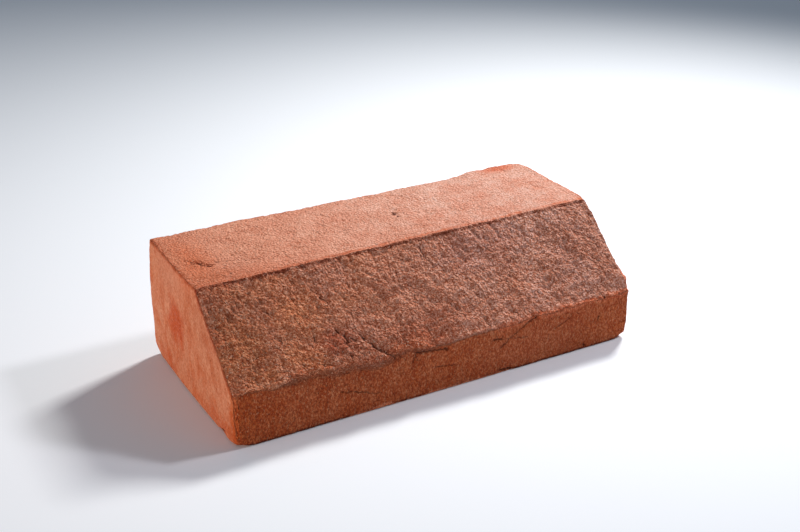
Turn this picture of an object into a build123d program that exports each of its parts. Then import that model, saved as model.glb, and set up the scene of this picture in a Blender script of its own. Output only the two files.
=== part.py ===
from build123d import *
import os

# A plinth brick: one hand-moulded piece of fired clay that closes the top of a thickened
# wall base. Its front starts as a low upright riser, then leans back in a long splay up to
# a narrower top bed, so that rain runs off. It lies on its bed, with the riser to the front.
#
# Frame, in millimetres: the origin is the centre of the bed, X runs along the length,
# Y from the riser (minus) to the back (plus), and Z is up.

# Overall work size of the stretcher.
LENGTH = 215.0
WIDTH = 102.5
HEIGHT = 63.0

# The splay runs from the top of the riser to the front of the top bed.
RISER_HEIGHT = 26.0
TOP_BED_WIDTH = 64.0

# The arrises are as soft as the mould and the handling left them, each by its own radius.
FOOT_ARRIS = 2.0
HEEL_ARRIS = 2.5
CROWN_ARRIS = 3.0
BROW_ARRIS = 2.0
NOSE_ARRIS = 6.0
END_ARRIS = 1.8

# The five corners of the section as (Y, Z), named from the front of the bed round to the
# nose, where the riser meets the splay.
front = -WIDTH / 2
back = WIDTH / 2
foot = (front, 0)
heel = (back, 0)
crown = (back, HEIGHT)
brow = (back - TOP_BED_WIDTH, HEIGHT)
nose = (front, RISER_HEIGHT)

corner_rounds = (
    (foot, FOOT_ARRIS),
    (heel, HEEL_ARRIS),
    (crown, CROWN_ARRIS),
    (brow, BROW_ARRIS),
    (nose, NOSE_ARRIS),
)

with BuildPart() as plinth_brick:
    # The section, which the mould gives the whole length.
    with BuildSketch(Plane.YZ) as section:
        with BuildLine():
            Polyline(foot, heel, crown, brow, nose, close=True)
        make_face()
        for corner, radius in corner_rounds:
            fillet(section.vertices().sort_by_distance(corner)[0], radius)
    extrude(amount=LENGTH / 2, both=True)

    # The arrises round the two end faces follow the section, its rounded corners included.
    end_faces = plinth_brick.faces().filter_by(Axis.X)
    fillet(end_faces.edges(), END_ARRIS)

plinth_brick.part.label = "plinth_brick"
os.makedirs("parts", exist_ok=True)
export_step(plinth_brick.part, "parts/plinth_brick.step")
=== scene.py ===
import bpy
import numpy as np
from mathutils import Matrix, Vector


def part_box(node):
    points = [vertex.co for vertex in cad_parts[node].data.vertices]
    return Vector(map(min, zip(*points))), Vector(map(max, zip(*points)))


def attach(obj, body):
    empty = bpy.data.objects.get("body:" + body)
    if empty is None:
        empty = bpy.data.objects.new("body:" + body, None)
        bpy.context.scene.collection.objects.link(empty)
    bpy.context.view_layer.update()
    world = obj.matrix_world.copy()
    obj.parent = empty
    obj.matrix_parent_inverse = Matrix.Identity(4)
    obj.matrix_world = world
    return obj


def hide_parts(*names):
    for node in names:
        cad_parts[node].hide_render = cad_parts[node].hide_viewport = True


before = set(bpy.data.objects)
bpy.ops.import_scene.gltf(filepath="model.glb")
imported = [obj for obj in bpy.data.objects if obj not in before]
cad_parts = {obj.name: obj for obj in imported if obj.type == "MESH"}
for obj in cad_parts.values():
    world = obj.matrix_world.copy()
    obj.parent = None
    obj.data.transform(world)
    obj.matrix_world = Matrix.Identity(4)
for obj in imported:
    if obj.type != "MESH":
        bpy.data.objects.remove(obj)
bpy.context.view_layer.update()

# The body of the brick, one piece of fired clay. A clot of clay was thrown into a sanded,
# splayed mould, struck off level, turned out and fired, so its faces are creased and sandy
# and its arrises soft and crumbled.

# Its sizes are in mm, until the mesh is written in metres.
PER_METRE = 1000.0
low, high = (np.array(corner) * PER_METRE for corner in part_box("plinth_brick"))
LENGTH, WIDTH, HEIGHT = high - low
HALF = LENGTH / 2
RISER_HEIGHT = 26.0
TOP_BED_WIDTH = 64.0

# The corners of the section as (Y, Z), round from the front of the bed: the foot, heel,
# crown, brow and nose. A face follows each: the bed, back, top bed, splay and riser.
foot = (low[1], low[2])
heel = (high[1], low[2])
crown = (high[1], high[2])
brow = (high[1] - TOP_BED_WIDTH, high[2])
nose = (low[1], RISER_HEIGHT)
CORNERS = np.array((foot, heel, crown, brow, nose))
CORNER_RADII = (0.8, 2.0, 1.8, 0.9, 1.2)
CORNER_STEPS = (5, 5, 6, 6, 10)
FACE_STEPS = (36, 32, 78, 68, 34)

# The nose was smoothed round by hand over a stretch between its ends: how much rounder it is
# there, and where along X that begins and ends.
NOSE = 4
SMOOTHED = 5.5
SMOOTHED_FROM = (-95, -78)
SMOOTHED_TO = (-15, 26)

# How round the end arrises are along each of those faces, at the left end and at the right,
# and how quickly one face's radius gives way to the next.
END_RADII = np.array(((1.8, 3.6), (1.3, 3.0), (0.9, 1.4), (1.0, 1.2), (3.1, 1.2)))
CHANGEOVER = 12

# Near the ends no long arris is tighter than the end arris that meets it: how much rounder
# it is than that one, and over how much of the length.
BLUNTED, BLUNTED_OVER = 0.3, 4.0
END_STEPS = 4
CAP_RINGS = 22
STATIONS = 300


def ease(start, end, value):
    """Rises from 0 at start to 1 at end, along 3t^2 - 2t^3."""
    t = np.clip((value - start) / (end - start), 0, 1)
    return t * t * (3 - 2 * t)


def brick_surface():
    """Points, outward normals, quads and end triangles of the smooth brick. The section is a
    ring of arcs joined by straight runs: an arc's centre lies on its corner's bisector, and its
    points stand off by the radius along normals that turn evenly. Rings stand along X, curl in
    round a quarter circle at each end, then shrink on the end face to a pole."""
    station = np.linspace(0, 1, STATIONS)
    curl = np.linspace(90, 0, END_STEPS + 1)[:-1]
    tilt = np.radians(np.concatenate([curl, np.zeros(STATIONS), curl[::-1]]))
    station = np.concatenate([np.zeros(END_STEPS), station, np.ones(END_STEPS)])
    along = (station - 0.5) * LENGTH
    left_half = (station < 0.5)[:, None]

    radii = np.tile(CORNER_RADII, (len(station), 1))
    radii[:, NOSE] += SMOOTHED * ease(*SMOOTHED_FROM, along) * (1 - ease(*SMOOTHED_TO, along))
    blunt = BLUNTED + np.maximum(END_RADII, np.roll(END_RADII, 1, axis=0))
    for side, end_x in enumerate((-HALF, HALF)):
        near = np.exp(-(((along - end_x) / BLUNTED_OVER) ** 2))[:, None]
        radii += np.maximum(blunt[:, side] - radii, 0) * near

    ahead = np.roll(CORNERS, -1, axis=0) - CORNERS
    ahead /= np.linalg.norm(ahead, axis=1, keepdims=True)
    normals = np.stack([ahead[:, 1], -ahead[:, 0]], axis=1)
    arcs, turned = [], []
    for i, corner in enumerate(CORNERS):
        turn = np.arccos(normals[i - 1] @ normals[i])
        first = np.arctan2(normals[i - 1, 1], normals[i - 1, 0])
        angles = first + np.linspace(0, turn, CORNER_STEPS[i])
        turned.append(np.stack([np.cos(angles), np.sin(angles)], axis=1))
        radius = radii[:, i, None, None]
        centre = corner - (ahead[i - 1] * np.tan(turn / 2) + normals[i - 1]) * radius
        arcs.append(centre + turned[i] * radius)
    ring, facing = [], []
    for i, steps in enumerate(FACE_STEPS):
        part = ((np.arange(steps) + 1) / (steps + 1))[:, None]
        start, finish = arcs[i][:, -1:], arcs[(i + 1) % len(arcs)][:, :1]
        ring += [arcs[i], start + (finish - start) * part]
        facing += [turned[i], np.repeat(normals[i : i + 1], steps, axis=0)]
    ring, facing = np.concatenate(ring, axis=1), np.concatenate(facing)

    # Round the ring, an end arris has each face's radius, blended by how the ring faces.
    weights = np.clip(facing @ normals.T, 0, 1) ** CHANGEOVER
    left, right = (weights @ END_RADII / weights.sum(axis=1, keepdims=True)).T
    bend = np.where(left_half, left, right)
    beyond = bend * np.sin(tilt)[:, None]
    straight = -HALF + left + station[:, None] * (LENGTH - left - right)
    x = straight + np.where(left_half, -beyond, beyond)
    across = ring - facing * (bend * (1 - np.cos(tilt))[:, None])[..., None]
    points = np.concatenate([x[..., None], across], axis=2)
    sideways = np.where(left_half, -1, 1) * np.sin(tilt)[:, None] * np.ones_like(x)
    upright = facing * np.cos(tilt)[:, None, None]
    outward = np.concatenate([sideways[..., None], upright], axis=2)

    drawn = ((np.arange(CAP_RINGS) + 1) / (CAP_RINGS + 1))[:, None, None]
    left_pole, right_pole = points[0].mean(axis=0), points[-1].mean(axis=0)
    left_cap = (points[0] + (left_pole - points[0]) * drawn)[::-1]
    right_cap = points[-1] + (right_pole - points[-1]) * drawn
    rings = np.concatenate([left_cap, points, right_cap])
    turns = np.concatenate([left_cap * 0 + (-1, 0, 0), outward, right_cap * 0 + (1, 0, 0)])
    count, size = rings.shape[:2]
    index = np.arange(count * size).reshape(count, size)
    after = np.roll(index, -1, axis=1)
    quads = np.stack([index[:-1], after[:-1], after[1:], index[1:]], axis=2).reshape(-1, 4)
    left_fan = np.stack([np.full(size, count * size), after[0], index[0]], axis=1)
    right_fan = np.stack([np.full(size, count * size + 1), index[-1], after[-1]], axis=1)
    points = np.concatenate([rings.reshape(-1, 3), [left_pole, right_pole]])
    outward = np.concatenate([turns.reshape(-1, 3), [(-1, 0, 0), (1, 0, 0)]])
    return points, outward, quads, np.concatenate([left_fan, right_fan])


def scatter(cells, seed):
    """A pseudo-random number from 0 to 1 for each lattice cell: its three whole numbers and
    the seed are multiplied by large numbers, joined, and stirred by shifts and products."""
    h = cells[:, 0] * 73856093 ^ cells[:, 1] * 19349663 ^ cells[:, 2] * 83492791 ^ seed * 2654435
    h = h & 0xFFFFFFFF
    h = ((h ^ (h >> 15)) * 739982445) & 0xFFFFFFFF
    h = ((h ^ (h >> 12)) * 695872825) & 0xFFFFFFFF
    return (h ^ (h >> 15)) / 0xFFFFFFFF


def lumps(points, size, seed):
    """Smooth lumps about size mm apart, from about -1 to 1: each lattice corner has a random
    slope, and a point blends the heights of its cell's eight slopes by 6t^5 - 15t^4 + 10t^3,
    times 1.5 to fill that range."""
    place = points / size
    cell = np.floor(place).astype(np.int64)
    inside = place - cell
    blend = inside**3 * (inside * (inside * 6 - 15) + 10)
    total = np.zeros(len(points))
    for corner in np.ndindex(2, 2, 2):
        slopes = np.stack([scatter(cell + corner, seed * 3 + axis) for axis in range(3)], axis=1)
        weight = np.prod(np.where(corner, blend, 1 - blend), axis=1)
        total += weight * ((slopes * 2 - 1) * (inside - corner)).sum(axis=1)
    return total * 1.5


def creases(points, size, seed):
    """Rounded lumps with sharp valleys between them: the size of the lumps' noise, times 1.6
    and at most 0.6, which comes to a crease wherever the noise crosses zero, less 0.3, about
    its mean."""
    return np.minimum(np.abs(lumps(points, size, seed)) * 1.6, 0.6) - 0.3


points, outward, quads, fans = brick_surface()
x, y, z = points.T

# How deep each point lies below the plane of each face. A point belongs to the face that it
# lies least below, and its margin is how much deeper the next face lies, in mm.
splay_run = WIDTH - TOP_BED_WIDTH
splay_rise = HEIGHT - RISER_HEIGHT
splay_length = np.hypot(splay_run, splay_rise)
splay_up = np.array((0, splay_run, splay_rise)) / splay_length
splay_out = np.array((0, -splay_rise, splay_run)) / splay_length
depth = {
    "bed": z - low[2],
    "back": high[1] - y,
    "top": high[2] - z,
    "splay": splay_out @ (0, *nose) - points @ splay_out,
    "riser": y - low[1],
    "left": x + HALF,
    "right": HALF - x,
}
depths = np.stack(list(depth.values()), axis=1)
ARRIS_WIDTH = 1.6
second = np.partition(depths, 1, axis=1)[:, 1]
arris = np.exp(-((second / ARRIS_WIDTH) ** 2))

# The border between the splay's coarse skin and the riser's wanders along the nose: where
# LAP is below 0 the riser's comes up round the nose, and above 0 the splay's laps down.
LAP_X = (-104, -91, -81, -75, -67, -61, -53, -31, -26, -20, -10, 20, 36, 50)
LAP = (-0.7, -0.1, 0.4, -0.5, -1.4, -0.2, 0.9, 2.1, 0.6, 0.0, 1.4, 1.2, 0.5, 0.0)
lap = np.interp(x, LAP_X, LAP) + 0.9 * lumps(points, 9.0, 31) + 0.5 * lumps(points, 4.0, 30)
order = depths + 0.0
order[:, list(depth).index("riser")] += lap
margin = {}
for i, face in enumerate(depth):
    others = np.delete(order, i, axis=1).min(axis=1)
    margin[face] = others - order[:, i]

# How far the skins of two faces fade into each other, in mm either side of their border, in
# colour by softness and in depth by fade: how far anywhere, and how much further along the
# smoothed nose.
SHARP_COLOUR, SHARP_DEPTH = 0.25, 0.8
FADED_COLOUR, FADED_DEPTH = 1.5, 2.2
smoothed_along = ease(-88, -72, x) * (1 - ease(-30, 12, x))
near_nose = np.exp(-((np.maximum(depth["splay"], depth["riser"]) / 9.0) ** 2))
softness = SHARP_COLOUR + FADED_COLOUR * smoothed_along * near_nose
fade = SHARP_DEPTH + FADED_DEPTH * smoothed_along * near_nose
share = {face: ease(-fade, fade, value) for face, value in margin.items()}

# The skin is most deeply creased on the splay, less on the back and top bed, and least on the
# riser, the ends and the bed that it lies on.
CREASING = {
    "bed": 0.3,
    "back": 0.6,
    "top": 0.56,
    "splay": 0.84,
    "riser": 0.42,
    "left": 0.32,
    "right": 0.45,
}
creasing = sum(share[face] * amount for face, amount in CREASING.items())

# Its layers, each a height in mm times lumps or creases of one size. Most are swept along by a
# slow drift, so that none shows the lattice. A slight warp of the whole brick is added.
drift = np.stack([lumps(points, 8.0, seed) for seed in (1, 2, 3)], axis=1)
swept = points + drift * 1.8
skin = (
    1.15 * lumps(swept, 17.0, 13)
    + 0.80 * lumps(swept, 9.0, 4)
    + 1.00 * creases(swept, 6.0, 5)
    + 0.75 * creases(swept, 3.4, 6)
    + 0.60 * lumps(points, 2.0, 7)
)
warp = 0.30 * lumps(points, 62.0, 8) + 0.22 * lumps(points, 27.0, 9)

# It lay on a flat board while soft, which left its foot even, and none of its square faces
# stands past its plane: a relief r above it is eased down to (r - sqrt(r^2 + PRESSED^2)) / 2.
PRESSED = 0.3
settled = 0.25 + 0.75 * ease(0, 7, z)
relief = (creasing * skin + warp) * settled
pressed = (relief - np.hypot(relief, PRESSED)) / 2
relief = relief + (1 - share["splay"]) * (pressed - relief)

# The arrises crumble: short chips bite in between stretches that stay sharp, and the arris
# between the left end and the top bed is nicked all along.
crumble = lumps(points, 3.6, 10) + 0.6 * lumps(points, 2.0, 11)
chipped = ease(-0.05, 0.7, lumps(points, 11.0, 12) + 0.15)
ragged = arris * (0.30 * np.minimum(crumble, 0) - 0.75 * chipped * ease(0.1, 0.8, crumble))
nicked = ease(-0.2, 0.6, lumps(points, 4.2, 34)) * (0.6 + 0.8 * lumps(points, 1.6, 35))
left_arris = np.exp(-(((depth["left"] + depth["top"]) / ARRIS_WIDTH) ** 2))
ragged -= 1.05 * nicked * left_arris

# Each face that has marks of its own: a point on it, its two directions and which way it faces.
FACES = {
    "top": np.array(((0, 0, high[2]), (1, 0, 0), (0, 1, 0), (0, 0, 1))),
    "splay": np.array(((0, *nose), (1, 0, 0), splay_up, splay_out)),
    "riser": np.array(((0, low[1], 0), (1, 0, 0), (0, 0, 1), (0, -1, 0))),
    "left": np.array(((-HALF, 0, 0), (0, 1, 0), (0, 0, 1), (-1, 0, 0))),
}

# The cracks, nicks and pits that can be told apart, by face: where each starts, across and up
# the face, where it ends, across and up, how wide it is and how deep, all in mm.
MARKS = {
    "top": (
        (-98.4, 14.6, -94.7, 12.3, 0.95, 1.5),
        (-95.4, 10.6, -91.9, 7.3, 0.90, 1.3),
        (-88.0, 9.4, -78.0, 6.4, 0.70, 0.22),
        (-76.0, 4.6, -69.0, 3.0, 0.65, 0.22),
        (-21.8, 13.6, -17.0, 12.2, 0.70, 0.35),
        (11.1, 19.6, 11.1, 18.4, 0.90, 1.6),
        (11.6, 15.6, 10.9, 15.0, 0.70, 1.0),
        (-79.1, 14.0, -78.4, 13.6, 0.45, 0.5),
        (-57.2, 21.5, -56.4, 21.3, 0.45, 0.5),
        (-87.2, -5.4, -86.5, -5.2, 0.45, 0.5),
    ),
    "splay": (
        (5.5, 48.3, 6.2, 43.0, 0.42, 0.55),
        (6.2, 43.0, 8.6, 37.3, 0.40, 0.45),
        (-52.3, 35.8, -50.2, 33.8, 0.50, 0.7),
        (-50.2, 33.8, -49.5, 31.0, 0.50, 0.6),
        (-61.4, 18.4, -61.8, 16.0, 0.55, 0.8),
        (-54.8, 19.0, -53.6, 18.4, 0.45, 0.5),
        (-50.4, 18.8, -49.6, 17.6, 0.55, 0.8),
        (-47.4, 15.6, -46.4, 12.0, 0.60, 1.0),
        (-47.8, 11.6, -47.1, 10.1, 0.55, 0.8),
        (-44.5, 13.5, -43.1, 11.6, 0.60, 0.8),
        (-39.9, 13.8, -38.9, 11.8, 0.55, 0.7),
        (-54.0, 13.4, -53.4, 11.9, 0.45, 0.6),
        (-63.0, 4.9, -58.6, 3.3, 0.45, 0.6),
        (-72.6, 7.4, -70.9, 6.4, 0.45, 0.5),
        (-47.7, 5.3, -47.7, 3.8, 0.45, 0.5),
        (-36.4, 8.6, -34.2, 5.0, 0.50, 0.8),
        (-34.2, 5.0, -30.6, 2.0, 0.60, 0.95),
        (-30.6, 2.0, -27.1, -0.6, 0.50, 0.8),
    ),
    "riser": (
        (-55.1, 14.4, -45.0, 11.6, 0.45, 0.5),
        (-45.0, 11.6, -34.5, 7.8, 0.40, 0.4),
        (-17.9, 19.6, -15.7, 23.8, 0.45, 0.6),
        (-15.7, 23.8, 0.6, 21.5, 0.50, 0.7),
        (0.1, 21.7, 1.1, 21.3, 0.75, 1.1),
        (-5.2, 13.3, -0.4, 12.6, 0.45, 0.5),
        (-0.4, 12.6, 6.2, 11.4, 0.40, 0.4),
        (30.6, 13.6, 36.0, 17.4, 0.50, 0.6),
        (36.0, 17.4, 40.6, 19.7, 0.45, 0.5),
        (41.5, 20.2, 47.6, 24.3, 0.55, 0.7),
        (47.6, 24.3, 51.5, 25.1, 0.70, 1.1),
        (26.8, 19.0, 31.3, 18.6, 0.55, 0.7),
        (32.0, 18.4, 46.2, 16.0, 0.40, 0.35),
        (62.3, 15.9, 71.7, 19.6, 0.45, 0.5),
        (89.3, 16.3, 89.3, 14.0, 0.55, 0.8),
        (92.6, 26.0, 93.0, 25.6, 0.80, 1.1),
        (31.2, 1.5, 37.1, 1.2, 0.60, 0.9),
        (80.8, 2.3, 81.6, 2.0, 0.65, 0.9),
    ),
    "left": (
        (-32.5, 1.0, -37.5, 2.2, 0.80, 1.2),
    ),
}


def on_face(face, across, up):
    """The point of a face that lies that far along its two directions, in mm."""
    origin, first, other, _ = FACES[face]
    return origin + first * across + other * up


def mark_ends(face, mark):
    """Where a mark of that face starts and where it ends."""
    from_across, from_up, to_across, to_up = mark[:4]
    return on_face(face, from_across, from_up), on_face(face, to_across, to_up)


def segment_distance(points, start, finish):
    """Distance from each point to a straight segment: the point's share of the way along it is
    its product with the segment over the segment's square, held between 0 and 1."""
    run = finish - start
    way = np.clip((points - start) @ run / (run @ run), 0, 1)
    return np.linalg.norm(points - start - way[:, None] * run, axis=1)


# A groove's sides slope out this much past the width of its mark.
GROOVE_SIDE = 0.35
grooves = np.zeros(len(points))
for face, marks in MARKS.items():
    for mark in marks:
        width, deep = mark[4:]
        apart = segment_distance(points, *mark_ends(face, mark))
        grooves = np.maximum(grooves, deep * np.exp(-((apart / (width + GROOVE_SIDE)) ** 2)))

# Low places and proud ones that show in its outline. The crown sinks along the middle. The
# nose has a bead of clay along its crisp stretches, and a lip at its right end.
CROWN_X = (-107.5, -90, -75, -58, -28, 5, 35, 62, 74, 107.5)
CROWN_SINK = (0.1, 0.1, 0.1, 0.1, 1.1, 1.0, 1.6, 2.0, 0.3, 0.2)
dents = 0.9 * np.maximum(lumps(points, 8.0, 33), 0) * ease(-80, -55, x)
sink = (np.interp(x, CROWN_X, CROWN_SINK) + dents) * (ease(38, 51, y) * ease(40, 62, z))
crisp_along = 1 - ease(-82, -66, x) + ease(26, 44, x)
nose_line = np.exp(-(((depth["splay"] + depth["riser"]) / 1.8) ** 2))
bead = (0.5 + 0.5 * lumps(points, 5.0, 32)) * crisp_along * nose_line
LIP_HEIGHT, LIP_X, LIP_Z = 2.4, 106.5, 31.0
lip_reach = ((x - LIP_X) / 5.0) ** 2 + (depth["splay"] / 4.0) ** 2 + ((z - LIP_Z) / 3.2) ** 2
proud = bead + LIP_HEIGHT * np.exp(-lip_reach)

# Both ends lean in towards the top: the left one only towards the back, where it leans in at
# its foot as well.
shifted = points + outward * (relief + ragged - grooves + proud)[:, None]
shifted[:, 2] -= sink
lean_left = (1.5 * ease(36, 66, z) + 1.0 * ease(9, 0, z)) * ease(0, 51, y)
lean_right = 0.6 * ease(30, 63, z)
shifted[:, 0] += lean_left * ease(60, HALF, -x) - lean_right * ease(60, HALF, x)

# Its corners are worn: each is pulled in towards the middle, by so much, within a reach.
WORN = (
    ((HALF, *crown), 1.7, 6.0),
    ((HALF, *foot), 0.8, 5.0),
    ((HALF, *brow), 0.8, 4.0),
    ((HALF, *heel), 1.5, 6.0),
    ((-HALF, *crown), 0.3, 3.0),
    ((-HALF, *foot), 1.6, 4.5),
    ((-HALF, *heel), 0.7, 5.0),
    ((-HALF, *brow), 0.6, 3.0),
)
middle = np.array((0, 0, HEIGHT / 2))
for corner, worn, reach in WORN:
    apart = np.linalg.norm(points - corner, axis=1)
    inwards = (middle - corner) * (1, 1, 1.6)
    shifted += np.exp(-((apart / reach) ** 2))[:, None] * inwards / np.linalg.norm(inwards) * worn

# The mesh is held inside the solid model's box. Its points carry what the clay's finish goes
# by: the margins of the faces, and how softly they meet.
shifted = np.clip(shifted, low, high)
mesh = bpy.data.meshes.new("plinth_brick_clay")
mesh.from_pydata((shifted / PER_METRE).tolist(), [], quads.tolist() + fans.tolist())
mesh.polygons.foreach_set("use_smooth", np.ones(len(mesh.polygons), bool))
FOR_CLAY = {
    "splay_margin": margin["splay"],
    "riser_margin": margin["riser"],
    "top_margin": margin["top"],
    "end_margin": np.maximum(margin["left"], margin["right"]),
    "softness": softness,
}
for name, values in FOR_CLAY.items():
    mesh_attribute = mesh.attributes.new(name, "FLOAT", "POINT")
    mesh_attribute.data.foreach_set("value", values.astype(np.float32))
mesh.update()
brick = bpy.data.objects.new("plinth_brick_body", mesh)
bpy.context.scene.collection.objects.link(brick)


def node(tree, kind, **settings):
    """A new node of that kind. A setting that names one of its inputs, with underscores for
    spaces, fills or links it, and any other sets the property of that name."""
    made = tree.nodes.new(kind)
    for name, value in settings.items():
        socket = made.inputs.get(name.replace("_", " "))
        if socket is None:
            setattr(made, name, value)
        elif isinstance(value, bpy.types.NodeSocket):
            tree.links.new(value, socket)
        else:
            socket.default_value = value
    return made


def feed(tree, made, *given):
    """Fills or links a node's inputs in their order, and gives its first output."""
    for socket, value in zip(made.inputs, given):
        if isinstance(value, bpy.types.NodeSocket):
            tree.links.new(value, socket)
        else:
            socket.default_value = value
    return made.outputs[0]


def maths(tree, operation, *given):
    """The outcome of one sum on numbers."""
    return feed(tree, node(tree, "ShaderNodeMath", operation=operation), *given)


def vectors(tree, operation, *given):
    """The outcome of one sum on vectors, a number or a vector as the operation has it."""
    made = node(tree, "ShaderNodeVectorMath", operation=operation)
    feed(tree, made, *given)
    gives_number = operation in ("DOT_PRODUCT", "LENGTH", "DISTANCE")
    return made.outputs["Value" if gives_number else "Vector"]


def scaled(tree, vector, factor):
    """A vector times a number."""
    made = node(tree, "ShaderNodeVectorMath", operation="SCALE", Scale=factor)
    tree.links.new(vector, made.inputs[0])
    return made.outputs[0]


def spread(tree, value, start, end, lowest=0.0, highest=1.0):
    """The value's rise from start to end, eased, as a number from lowest to highest."""
    made = node(tree, "ShaderNodeMapRange", interpolation_type="SMOOTHSTEP")
    return feed(tree, made, value, start, end, lowest, highest)


def new_group(name, inputs, outputs):
    """An empty node group with those sockets: its tree, what comes in and what goes out."""
    group = bpy.data.node_groups.new(name, "ShaderNodeTree")
    for direction, sockets in (("INPUT", inputs), ("OUTPUT", outputs)):
        for socket, kind in sockets:
            socket_type = "NodeSocket" + kind
            group.interface.new_socket(name=socket, in_out=direction, socket_type=socket_type)
    comes_in = group.nodes.new("NodeGroupInput").outputs
    return group, comes_in, group.nodes.new("NodeGroupOutput").inputs


# A crack's mask: 1 on the line from one point to another and 0 a width away from it, seen
# square on to its face, and none further than 3 mm under or over that face.
CRACK_SOCKETS = (
    ("Place", "Vector"),
    ("Start", "Vector"),
    ("Run", "Vector"),
    ("Facing", "Vector"),
    ("Width", "Float"),
)
crack_group, crack_in, crack_out = new_group("crack", CRACK_SOCKETS, (("Mask", "Float"),))
from_start = vectors(crack_group, "SUBTRACT", crack_in["Place"], crack_in["Start"])
sunk = vectors(crack_group, "DOT_PRODUCT", from_start, crack_in["Facing"])
off_face = scaled(crack_group, crack_in["Facing"], sunk)
flat = vectors(crack_group, "SUBTRACT", from_start, off_face)
on_its_face = spread(crack_group, maths(crack_group, "ABSOLUTE", sunk), 3.0, 2.0)
covered = vectors(crack_group, "DOT_PRODUCT", flat, crack_in["Run"])
squared = vectors(crack_group, "DOT_PRODUCT", crack_in["Run"], crack_in["Run"])
part_way = maths(crack_group, "DIVIDE", covered, squared)
part_way = feed(crack_group, node(crack_group, "ShaderNodeClamp"), part_way, 0.0, 1.0)
nearest = scaled(crack_group, crack_in["Run"], part_way)
from_line = vectors(crack_group, "DISTANCE", flat, nearest)
on_line = spread(crack_group, from_line, crack_in["Width"], 0.0)
crack_group.links.new(maths(crack_group, "MULTIPLY", on_line, on_its_face), crack_out["Mask"])

# A stain's mask: 1 at its centre and 0 a little past its reach along each axis, with a cloudy
# edge.
STAIN_SOCKETS = (
    ("Place", "Vector"),
    ("Centre", "Vector"),
    ("Reach", "Vector"),
    ("Cloud", "Float"),
)
stain_group, stain_in, stain_out = new_group("stain", STAIN_SOCKETS, (("Mask", "Float"),))
from_centre = vectors(stain_group, "SUBTRACT", stain_in["Place"], stain_in["Centre"])
reaches = vectors(stain_group, "DIVIDE", from_centre, stain_in["Reach"])
cloudy = maths(stain_group, "MULTIPLY", maths(stain_group, "SUBTRACT", stain_in["Cloud"], 0.5), 1.6)
reached = maths(stain_group, "ADD", vectors(stain_group, "LENGTH", reaches), cloudy)
stain_group.links.new(spread(stain_group, reached, 1.25, 0.25), stain_out["Mask"])

# The clay's finish: matt, sandy and mottled, orange on the ends and beds and brown-red on the
# splay and riser, with stains, worn arrises and cracks, and painted shade and highlights along
# some arrises, in the cracks, among the low grains and at the foot. Its patterns lie in mm on the
# brick.
clay = bpy.data.materials.new("fired_clay")
clay.use_nodes = True
tree = clay.node_tree
tree.nodes.clear()
place = scaled(tree, node(tree, "ShaderNodeTexCoord").outputs["Object"], PER_METRE)


def noise(size, detail=2.0, roughness=0.5, vector=place):
    """Cloudy noise from 0 to 1, with lumps about size mm across."""
    made = node(tree, "ShaderNodeTexNoise", Scale=1 / size, Detail=detail, Roughness=roughness)
    tree.links.new(vector, made.inputs["Vector"])
    return made.outputs["Fac"]


def attribute(name):
    """A number that the mesh carries at each point."""
    return node(tree, "ShaderNodeAttribute", attribute_name=name).outputs["Fac"]


def product(*factors):
    """Several masks or numbers multiplied together."""
    result = factors[0]
    for factor in factors[1:]:
        result = maths(tree, "MULTIPLY", result, factor)
    return result


def blend(amount, under, over, kind="MIX"):
    """One colour laid over another, by that amount."""
    made = node(tree, "ShaderNodeMix", data_type="RGBA", blend_type=kind)
    for socket, value in ((made.inputs[0], amount), (made.inputs[6], under), (made.inputs[7], over)):
        if isinstance(value, bpy.types.NodeSocket):
            tree.links.new(value, socket)
        else:
            socket.default_value = value if isinstance(value, float) else (*value, 1)
    return made.outputs[2]


# The masks of its faces, from their margins, with ragged borders.
wobble = product(maths(tree, "SUBTRACT", noise(1.6, 3.0, 0.6), 0.5), 2.4)
soft = attribute("softness")


def face_mask(name):
    """1 on a face and 0 off it, from its margin."""
    ragged_margin = maths(tree, "ADD", attribute(name), wobble)
    return spread(tree, ragged_margin, product(soft, -1.0), soft)


on_splay = face_mask("splay_margin")
on_riser = face_mask("riser_margin")
on_top = face_mask("top_margin")
on_end = face_mask("end_margin")

# The sand and crumbs on the skin: fine grain and small crumbs, drawn up a little on the riser
# and ends, and coarser on some faces than on others.
coordinates = node(tree, "ShaderNodeSeparateXYZ", Vector=place).outputs
along, upwards = coordinates["X"], coordinates["Z"]
drawn_up = maths(tree, "MULTIPLY_ADD", maths(tree, "ADD", on_riser, on_end), -0.4, 1.0)
streaky = node(tree, "ShaderNodeCombineXYZ", X=along, Y=coordinates["Y"], Z=product(upwards, drawn_up))
streaky = streaky.outputs[0]
grain = maths(tree, "SUBTRACT", noise(1.1, 1.5, 0.5, streaky), 0.5)
crumbs = maths(tree, "SUBTRACT", noise(2.3, 1.0, 0.5, streaky), 0.5)
standing = maths(tree, "ADD", product(grain, 1.8), crumbs)
coarse = 0.70
for mask, added in ((on_splay, 0.44), (on_riser, 0.66), (on_end, -0.12), (on_top, 0.14)):
    coarse = maths(tree, "MULTIPLY_ADD", mask, added, coarse)
coarse = product(coarse, spread(tree, noise(13.0, 2.0, 0.5), 0.35, 0.65, 0.92, 1.08))
coarse = product(coarse, spread(tree, soft, 0.4, 1.4, 1.0, 1.35))
height = product(standing, coarse)

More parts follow.
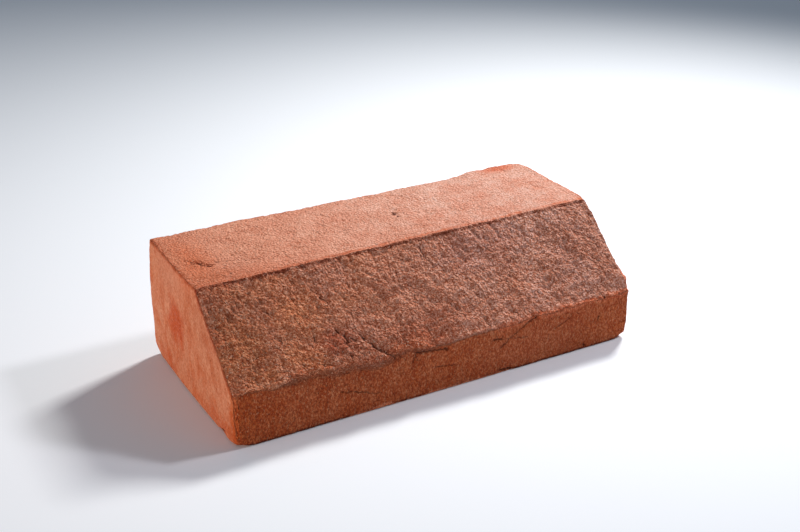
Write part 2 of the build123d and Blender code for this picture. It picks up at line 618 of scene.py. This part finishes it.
# The colours of the skin: mottled on the ends, back and bed and darker on the riser, and on
# the top bed and splay changing from left to right, with redder or duller clouds.
SKIN_COLOURS = ((0.60, 0.173, 0.074), (0.68, 0.296, 0.178))
RISER_COLOURS = ((0.47, 0.107, 0.030), (0.565, 0.179, 0.075))
TOP_LEFT, TOP_RIGHT = (0.77, 0.380, 0.266), (0.71, 0.485, 0.435)
TOP_RED = (0.63, 0.253, 0.168)
SPLAY_LEFT, SPLAY_RIGHT = (0.63, 0.240, 0.112), (0.69, 0.396, 0.334)
SPLAY_DULL = (0.595, 0.272, 0.193)
mottle = noise(7.0, 4.0, 0.65, streaky)
mottled = spread(tree, mottle, 0.32, 0.68)
clouded = spread(tree, noise(26.0, 3.0, 0.55), 0.3, 0.7)
rightward = spread(tree, along, -100.0, 90.0)
redder = product(maths(tree, "ADD", mottled, clouded), 0.40)
top_colour = blend(redder, blend(rightward, TOP_LEFT, TOP_RIGHT), TOP_RED)
splay_colour = blend(clouded, blend(rightward, SPLAY_LEFT, SPLAY_RIGHT), SPLAY_DULL)
colour = blend(mottled, *SKIN_COLOURS)
colour = blend(on_top, colour, top_colour)
colour = blend(on_riser, colour, blend(mottled, *RISER_COLOURS))
colour = blend(on_splay, colour, splay_colour)

# Each stain: its centre, its reach along each axis, its strength and its colour.
STAINS = (
    (on_face("left", 17.0, 35.0), (9.0, 11.0, 14.0), 0.80, (0.56, 0.090, 0.022)),
    (on_face("left", 34.0, 6.0), (9.0, 16.0, 7.0), 0.55, (0.58, 0.120, 0.035)),
    (on_face("left", -30.0, 4.0), (9.0, 16.0, 6.0), 0.45, (0.55, 0.110, 0.035)),
    (on_face("left", -28.0, 42.0), (6.0, 9.0, 9.0), 0.35, (0.55, 0.110, 0.035)),
    (on_face("top", -101.0, 14.0), (16.0, 40.0, 8.0), 0.80, (0.66, 0.198, 0.092)),
    (on_face("top", -80.0, -9.0), (26.0, 9.0, 5.0), 0.45, (0.60, 0.180, 0.090)),
    (on_face("top", 91.0, 46.5), (13.0, 6.0, 5.0), 0.75, (0.64, 0.160, 0.075)),
    (on_face("splay", -96.0, 28.0), (22.0, 40.0, 30.0), 0.35, (0.36, 0.140, 0.075)),
    (on_face("splay", 34.0, 42.0), (34.0, 17.0, 14.0), 0.40, (0.46, 0.240, 0.222)),
    (on_face("splay", 86.0, 26.0), (24.0, 22.0, 20.0), 0.35, (0.44, 0.220, 0.180)),
    (on_face("splay", -52.0, 13.0), (13.0, 8.0, 8.0), 0.55, (0.42, 0.085, 0.035)),
    (on_face("splay", -6.0, 10.0), (26.0, 8.0, 8.0), 0.30, (0.45, 0.120, 0.060)),
    (on_face("splay", -14.0, 2.5), (26.0, 8.0, 8.0), 0.60, (0.50, 0.135, 0.058)),
    (on_face("riser", 70.0, 22.0), (40.0, 6.0, 6.0), 0.40, (0.50, 0.120, 0.045)),
    (on_face("riser", 48.0, 12.0), (34.0, 6.0, 13.0), 0.45, (0.57, 0.190, 0.094)),
    (on_face("riser", -104.0, 12.0), (20.0, 8.0, 24.0), 0.70, (0.48, 0.100, 0.019)),
    (on_face("left", 24.0, 58.0), (9.0, 22.0, 15.0), 0.50, (0.66, 0.320, 0.215)),
)
for centre, reach, strength, tint in STAINS:
    stain = node(tree, "ShaderNodeGroup", node_tree=stain_group, Place=place, Cloud=mottle)
    stain.inputs["Centre"].default_value = centre
    stain.inputs["Reach"].default_value = reach
    colour = blend(product(stain.outputs[0], strength), colour, tint)


def band(margin_name, centre, half_width):
    """A soft band where a margin, with the ragged wobble, is within half_width of centre."""
    gap = maths(tree, "SUBTRACT", maths(tree, "ADD", attribute(margin_name), wobble), centre)
    return spread(tree, maths(tree, "ABSOLUTE", gap), half_width, half_width * 0.3)


# The arrises of the top bed are redder, with a thin dark line of painted shade under the brow.
# The edges of both end faces are darker with painted shade along the top bed and splay, and
# along the riser more orange, a painted tint of the light that wraps round that arris. A shade
# is multiplied by what lies under it.
EDGE_RED = (0.62, 0.200, 0.110)
BROW_SHADE = (0.38, 0.21, 0.14)
END_TOP_SHADE = (0.72, 0.45, 0.32)
END_SPLAY_SHADE = (0.58, 0.32, 0.20)
END_RISER_LIGHT = (0.97, 0.80, 0.58)
patchy = spread(tree, noise(5.0, 2.0, 0.5), 0.35, 0.6, 0.35, 1.0)
off_ends = maths(tree, "SUBTRACT", 1.0, on_end)
top_edge = product(band("top_margin", 1.0, 1.2), on_top, patchy)
colour = blend(top_edge, colour, EDGE_RED)
# Painted shade: the dark line in the shadow under the overhanging brow.
brow_shadow = product(band("top_margin", -0.65, 0.95), patchy, off_ends)
colour = blend(brow_shadow, colour, BROW_SHADE, "MULTIPLY")
# Painted shade along the end arrises by the top bed and by the splay, in their undercut and groove.
end_top_shadow = product(band("top_margin", -0.7, 1.9), on_end, patchy)
colour = blend(end_top_shadow, colour, END_TOP_SHADE, "MULTIPLY")
end_splay_shadow = product(band("splay_margin", -0.7, 2.0), on_end, patchy)
colour = blend(end_splay_shadow, colour, END_SPLAY_SHADE, "MULTIPLY")
# Painted light: along the riser the end's edge is tinted more orange, as the light wraps round that
# arris.
end_riser_light = product(band("riser_margin", -1.0, 3.2), on_end)
colour = blend(end_riser_light, colour, END_RISER_LIGHT, "MULTIPLY")

# Along the nose: raw orange clay on its crisp right part, where the sand has come off, made
# brighter as a painted highlight where that arris faces up into the light; redder clay where it
# is smoothed; and a pale, crumbled edge at the left, partly pale crumbs and partly a painted
# highlight on them. The riser's foot is dark, a painted contact shadow.
RAW_LIT_CLAY = (0.72, 0.220, 0.110)
FOLDED_CLAY = (0.66, 0.200, 0.090)
PALE_LIT_CRUMBS = (0.70, 0.340, 0.220)
FOOT_SHADE = (0.26, 0.15, 0.11)
crisp = spread(tree, soft, 1.2, 0.5)
nose_band = product(band("splay_margin", 0.0, 1.9), crisp, off_ends, spread(tree, upwards, 36.0, 33.0))
# Painted highlight where the crisp nose arris faces up into the light, over its bared clay.
bare_and_lit_nose = product(nose_band, spread(tree, along, 22.0, 36.0), spread(tree, patchy, 0.35, 0.8, 0.6, 1.0))
colour = blend(bare_and_lit_nose, colour, RAW_LIT_CLAY)
folded = product(band("riser_margin", -1.2, 2.6), on_splay, spread(tree, soft, 0.4, 1.2), 0.50)
colour = blend(folded, colour, FOLDED_CLAY)
# Partly pale crumbs and partly a painted highlight on the lit lip at the nose's left end.
crumbs_and_highlight = product(band("riser_margin", -1.6, 1.1), on_splay, spread(tree, along, -74.0, -86.0), 0.6)
colour = blend(crumbs_and_highlight, colour, PALE_LIT_CRUMBS)
# Painted contact shadow along the riser's foot.
foot_contact_shadow = spread(tree, maths(tree, "ADD", upwards, product(wobble, 0.6)), 2.0, 0.5)
colour = blend(product(foot_contact_shadow, on_riser), colour, FOOT_SHADE, "MULTIPLY")

# Grains that stand up are paler, as sand, and those that lie low darker and redder, as painted
# shade in the low places, most of all on the splay. The finest hollows and pits are darker still,
# and single grains of sand pale.
LOW_SHADE, PROUD_SHADE = (0.72, 0.54, 0.44), (1.12, 1.24, 1.34)
HOLLOW_SHADE, PIT_SHADE = (0.66, 0.44, 0.31), (0.50, 0.27, 0.16)
SAND, RISER_SAND = (0.66, 0.42, 0.32), (0.60, 0.25, 0.13)
# Paler sand on the proud grains, and painted shade darker and redder in the low ones.
sand_and_low_shade = blend(spread(tree, standing, -0.45, 0.45), LOW_SHADE, PROUD_SHADE)
worked = maths(tree, "MULTIPLY_ADD", on_splay, 0.65, 0.35)
colour = blend(product(worked, coarse), colour, sand_and_low_shade, "MULTIPLY")
hollow = product(spread(tree, noise(0.85, 3.0, 0.7, streaky), 0.62, 0.40), coarse)
colour = blend(hollow, colour, HOLLOW_SHADE, "MULTIPLY")
speck = product(spread(tree, noise(0.9, 1.0, 0.5, streaky), 0.58, 0.72), coarse, 0.40)
colour = blend(speck, colour, blend(on_riser, SAND, RISER_SAND))
pits = product(spread(tree, noise(1.7, 2.0, 0.6), 0.34, 0.26), 0.8)
colour = blend(pits, colour, PIT_SHADE, "MULTIPLY")

# The cracks, on a place that wavers so that none runs straight, darkened with painted shade
# inside them. Deeper ones are darker, with more painted shade.
WAVER = 2.4
CRACK_SHADE = (0.085, 0.020, 0.008)
waver = node(tree, "ShaderNodeTexNoise", Vector=place, Scale=1 / 2.0, Detail=3.0)
waver = vectors(tree, "SUBTRACT", waver.outputs["Color"], (0.5, 0.5, 0.5))
wavered = node(tree, "ShaderNodeVectorMath", operation="MULTIPLY_ADD")
wavered = feed(tree, wavered, waver, (WAVER, WAVER, WAVER), place)
cracks = 0.0
for face, marks in MARKS.items():
    for mark in marks:
        width, deep = mark[4:]
        start, finish = mark_ends(face, mark)
        crack = node(tree, "ShaderNodeGroup", node_tree=crack_group, Place=wavered, Width=width)
        crack.inputs["Start"].default_value = start
        crack.inputs["Run"].default_value = finish - start
        crack.inputs["Facing"].default_value = FACES[face][3]
        cracks = maths(tree, "MAXIMUM", cracks, product(crack.outputs[0], min(1.0, 0.25 + deep)))
# Painted shade inside the cracks, over the grooves that they also cut.
colour = blend(product(cracks, 0.85), colour, CRACK_SHADE)
height = maths(tree, "SUBTRACT", height, product(cracks, 0.5))

# The height of the grain, in mm, and the clay's dull surface.
GRAIN_HEIGHT = 0.85
bump = node(tree, "ShaderNodeBump", Strength=1.0, Distance=GRAIN_HEIGHT / PER_METRE, Height=height)
shader = node(tree, "ShaderNodeBsdfPrincipled", Base_Color=colour, Roughness=0.9)
tree.links.new(bump.outputs["Normal"], shader.inputs["Normal"])
shader.inputs["Specular IOR Level"].default_value = 0.2
node(tree, "ShaderNodeOutputMaterial", Surface=shader.outputs[0])
mesh.materials.append(clay)

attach(brick, "root")
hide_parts("plinth_brick")

# The floor that it stands on: one plain, pale, matt sheet, wide enough to run past the view
# on every side. It is only a stage.
FLOOR_HALF = 3.0
quarters = ((-1, -1), (1, -1), (1, 1), (-1, 1))
floor_corners = [(right * FLOOR_HALF, behind * FLOOR_HALF, 0) for right, behind in quarters]
floor_mesh = bpy.data.meshes.new("floor")
floor_mesh.from_pydata(floor_corners, [], [(0, 1, 2, 3)])
floor = bpy.data.objects.new("floor", floor_mesh)
bpy.context.scene.collection.objects.link(floor)
pale = bpy.data.materials.new("pale_floor")
pale.use_nodes = True
pale_shader = pale.node_tree.nodes["Principled BSDF"]
pale_shader.inputs["Base Color"].default_value = (0.83, 0.88, 0.97, 1)
pale_shader.inputs["Roughness"].default_value = 0.9
pale_shader.inputs["Specular IOR Level"].default_value = 0.1
floor_mesh.materials.append(pale)


# The lights, as in a small studio: a key softbox high behind the right end, a smaller one in
# front of it, and a broad warm reflector low on the left, which fills the left end. A faint
# blue light comes from all round.
def softbox(name, toward, distance, wide, tall, power, spread_degrees, tint):
    """An area light at that distance along a direction from the brick's middle, facing it."""
    data = bpy.data.lights.new(name, "AREA")
    data.shape = "RECTANGLE"
    data.size, data.size_y = wide, tall
    data.energy = power
    data.spread = np.radians(spread_degrees)
    data.color = tint
    light = bpy.data.objects.new(name, data)
    direction = Vector(toward).normalized()
    light.location = Vector((0, 0, 0.03)) + direction * distance
    light.rotation_euler = direction.to_track_quat("Z", "Y").to_euler()
    bpy.context.scene.collection.objects.link(light)


softbox("key_softbox", (0.62, 0.335, 0.71), 0.85, 0.14, 0.20, 2.85, 110, (1.0, 0.955, 0.87))
softbox("front_softbox", (0.694, -0.187, 0.695), 0.85, 0.10, 0.10, 1.0, 110, (1.0, 0.96, 0.96))
softbox("left_reflector", (-0.985, -0.10, 0.14), 1.1, 0.9, 0.30, 6.8, 180, (1.0, 0.76, 0.56))
world = bpy.data.worlds.new("studio")
world.use_nodes = True
world.node_tree.nodes["Background"].inputs["Color"].default_value = (0.68, 0.80, 0.92, 1)
world.node_tree.nodes["Background"].inputs["Strength"].default_value = 0.25
bpy.context.scene.world = world
bpy.context.scene.view_settings.view_transform = "Standard"

# The camera: an ordinary 60 mm lens, to the brick's left and looking down at it, with a slight
# roll. AIM is the point that the middle of its view falls on.
AIM = Vector((0.0490, 0.0804, 0.0))
AZIMUTH, ELEVATION, ROLL = np.radians((-29.20, 25.05, -0.31))
CAMERA_DISTANCE = 0.7592
level = np.cos(ELEVATION)
back = Vector((np.sin(AZIMUTH) * level, -np.cos(AZIMUTH) * level, np.sin(ELEVATION)))
camera_data = bpy.data.cameras.new("camera")
camera_data.lens = 60.0
camera_data.sensor_width = 36.0
camera = bpy.data.objects.new("camera", camera_data)
camera.matrix_world = (
    Matrix.Translation(AIM + back * CAMERA_DISTANCE)
    @ back.to_track_quat("Z", "Y").to_matrix().to_4x4()
    @ Matrix.Rotation(ROLL, 4, "Z")
)
bpy.context.scene.collection.objects.link(camera)
bpy.context.scene.camera = camera
